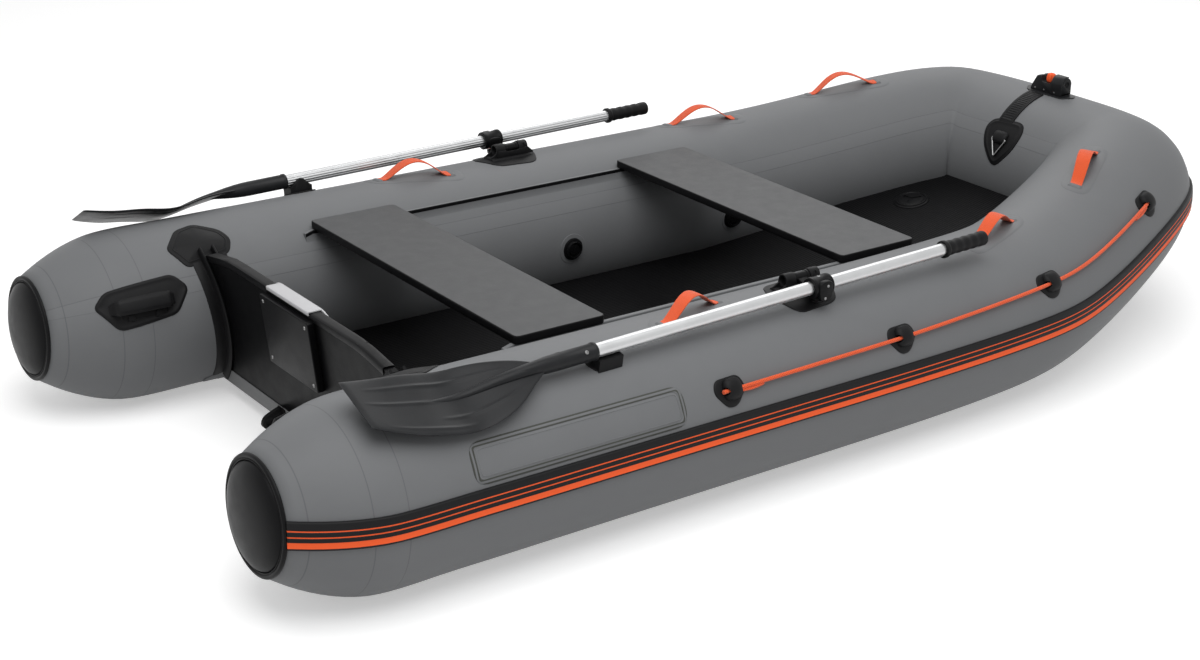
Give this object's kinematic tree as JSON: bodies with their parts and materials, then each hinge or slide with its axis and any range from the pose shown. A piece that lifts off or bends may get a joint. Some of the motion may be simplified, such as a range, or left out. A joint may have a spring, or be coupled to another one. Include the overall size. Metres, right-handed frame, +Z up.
{
  "type": "inflatable boat",
  "caption": "Inflatable boat: side tubes meet in a raised bow, with a raked hard transom, air deck, sliding bench seats, clipped oars in hinged oarlocks, lifelines and a bow anchor lock.",
  "frame": {"origin": "middle of the boat's bounding box, on the ground under the air tubes", "axes": "+X to the bow, +Y to port, +Z up"},
  "size_m": [3.0184, 1.556, 0.5628],
  "materials": {
    "grey_fabric": "coated fabric, satin",
    "deck_fabric": "textured, matte",
    "black_rubber": "moulded, satin",
    "black_plastic": "moulded",
    "seat_board": "satin board with dark edges",
    "transom_board": "coated board",
    "light_plastic": "moulded",
    "orange_webbing": "woven",
    "orange_plastic": "moulded",
    "aluminium": "anodised",
    "steel": "polished wire"
  },
  "bodies": {
    "hull": {"port_side_tube": "grey_fabric", "starboard_side_tube": "grey_fabric", "bow_tube": "grey_fabric", "bottom_fabric": "grey_fabric", "air_deck": "deck_fabric", "rub_strake": "black_rubber", "bow_ring_patch": "black_rubber", "port_stern_cap": "black_rubber", "starboard_stern_cap": "black_rubber", "port_seat_rail": "black_rubber", "starboard_seat_rail": "black_rubber", "port_lift_handle": "black_rubber", "starboard_lift_handle": "black_rubber", "port_transom_holder": "black_rubber", "starboard_transom_holder": "black_rubber", "port_line_eye_1": "black_rubber", "starboard_line_eye_1": "black_rubber", "port_line_eye_2": "black_rubber", "starboard_line_eye_2": "black_rubber", "port_line_eye_3": "black_rubber", "starboard_line_eye_3": "black_rubber", "port_line_eye_4": "black_rubber", "starboard_line_eye_4": "black_rubber", "port_oar_clip": "black_rubber", "starboard_oar_clip": "black_rubber", "transom_edge_trim": "black_plastic", "motor_plate": "black_plastic", "bow_chamber_valve": "black_plastic", "deck_valve": "black_plastic", "bow_lock_housing": "black_plastic", "port_chamber_valve": "black_plastic", "starboard_chamber_valve": "black_plastic", "port_oarlock_base": "black_plastic", "starboard_oarlock_base": "black_plastic", "transom_board": "transom_board", "motor_pad": "light_plastic", "port_lifeline": "orange_webbing", "starboard_lifeline": "orange_webbing", "port_aft_grab_handle": "orange_webbing", "starboard_aft_grab_handle": "orange_webbing", "port_mid_grab_handle": "orange_webbing", "starboard_mid_grab_handle": "orange_webbing", "port_fore_grab_handle": "orange_webbing", "starboard_fore_grab_handle": "orange_webbing"},
    "aft_seat": {"aft_seat": "seat_board"},
    "fore_seat": {"fore_seat": "seat_board"},
    "port_oarlock": {"port_oarlock_swivel": "black_plastic"},
    "starboard_oarlock": {"starboard_oarlock_swivel": "black_plastic"},
    "port_oar": {"port_oar_collar": "black_plastic", "port_oar_shaft": "aluminium", "port_oar_grip": "black_rubber", "port_oar_blade": "black_plastic"},
    "starboard_oar": {"starboard_oar_collar": "black_plastic", "starboard_oar_shaft": "aluminium", "starboard_oar_grip": "black_rubber", "starboard_oar_blade": "black_plastic"},
    "bow_ring": {"bow_ring": "steel"},
    "bow_roller": {"bow_roller": "black_plastic"},
    "bow_lock_knob": {"bow_lock_knob": "orange_plastic"}
  },
  "joints": [
    {"name": "aft_seat_slide", "type": "slide", "parent": "hull", "child": "aft_seat", "axis": [1, 0, 0], "range_m": [0, 0.5]},
    {"name": "fore_seat_slide", "type": "slide", "parent": "hull", "child": "fore_seat", "axis": [1, 0, 0], "range_m": [-0.5, 0]},
    {"name": "port_oar_lift", "type": "hinge", "parent": "hull", "child": "port_oarlock", "pos_m": [-0.15, 0.58, 0.431], "axis": [1, 0, 0], "range_deg": [0, 25]},
    {"name": "starboard_oar_lift", "type": "hinge", "parent": "hull", "child": "starboard_oarlock", "pos_m": [-0.15, -0.58, 0.431], "axis": [-1, 0, 0], "range_deg": [0, 25]},
    {"name": "port_oar_sweep", "type": "hinge", "parent": "port_oarlock", "child": "port_oar", "pos_m": [-0.15, 0.65594, 0.43542], "axis": [0, -0.342, -0.9397], "range_deg": [0, 110]},
    {"name": "starboard_oar_sweep", "type": "hinge", "parent": "starboard_oarlock", "child": "starboard_oar", "pos_m": [-0.15, -0.65594, 0.43542], "axis": [0, -0.342, 0.9397], "range_deg": [0, 110]},
    {"name": "bow_ring_swing", "type": "hinge", "parent": "hull", "child": "bow_ring", "pos_m": [1.11223, 0.00697, 0.40201], "axis": [0, 1, 0], "range_deg": [0, 120]},
    {"name": "bow_roller_spin", "type": "hinge", "parent": "hull", "child": "bow_roller", "pos_m": [1.2998, 0, 0.54155], "axis": [0, 1, 0], "continuous": true},
    {"name": "bow_lock_knob_turn", "type": "hinge", "parent": "hull", "child": "bow_lock_knob", "pos_m": [1.2998, 0.004, 0.51055], "axis": [0, 0, 1], "continuous": true}
  ]
}
